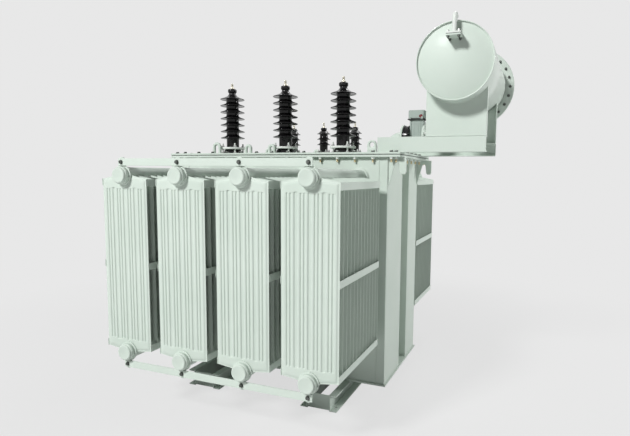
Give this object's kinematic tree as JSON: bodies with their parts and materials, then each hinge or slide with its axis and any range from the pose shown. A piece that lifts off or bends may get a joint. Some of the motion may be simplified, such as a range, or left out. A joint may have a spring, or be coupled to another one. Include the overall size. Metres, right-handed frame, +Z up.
{
  "type": "power transformer",
  "caption": "Oil filled power transformer with panel radiators on both long sides, porcelain bushings on the cover and a conservator drum on a bracket over one end.",
  "frame": {"origin": "floor level under the middle of the tank, centre of the foundation hole patterns", "axes": "+Z up; +X along the tank towards the conservator; -Y towards the long side that the picture shows, with the tall bushings"},
  "size_m": [2.241, 2.255, 2.278],
  "materials": {
    "sage_paint": "semi-gloss sage green enamel",
    "porcelain": "near-black gloss glaze",
    "rubber": "matte black",
    "brass": "dull plain brass",
    "zinc": "galvanized",
    "relay_grey": "satin grey enamel"
  },
  "bodies": {
    "root": {"breather_pipe": "sage_paint", "breather_seat": "sage_paint", "bushing_clamp_rings": "zinc", "bushing_terminals": "brass", "conservator_beams": "sage_paint", "conservator_front_end": "sage_paint", "conservator_rear_cover": "sage_paint", "conservator_rear_flange": "sage_paint", "conservator_rear_gasket": "rubber", "conservator_shell": "sage_paint", "conservator_uprights": "sage_paint", "cover_gasket": "rubber", "cover_lifting_eyes": "sage_paint", "header_caps": "sage_paint", "hv_bushing_1": "porcelain", "hv_bushing_2": "porcelain", "hv_bushing_3": "porcelain", "lv_bushing_1": "porcelain", "lv_bushing_2": "porcelain", "lv_bushing_3": "porcelain", "oil_pipes": "sage_paint", "radiator_back_1": "sage_paint", "radiator_back_2": "sage_paint", "radiator_back_3": "sage_paint", "radiator_back_4": "sage_paint", "radiator_bands": "sage_paint", "radiator_front_1": "sage_paint", "radiator_front_2": "sage_paint", "radiator_front_3": "sage_paint", "radiator_front_4": "sage_paint", "radiator_headers": "sage_paint", "relay_body": "relay_grey", "relay_box": "relay_grey", "relay_valve": "rubber", "skid_left": "sage_paint", "skid_right": "sage_paint", "tank_bottom_plate": "sage_paint", "tank_cover": "sage_paint", "tank_end_stiffeners": "sage_paint", "tank_end_walls": "sage_paint", "tank_lifting_hooks": "sage_paint", "tank_side_walls": "sage_paint", "tank_top_flange": "sage_paint", "tie_bar_ears": "sage_paint", "tie_bars": "sage_paint"}
  },
  "joints": []
}
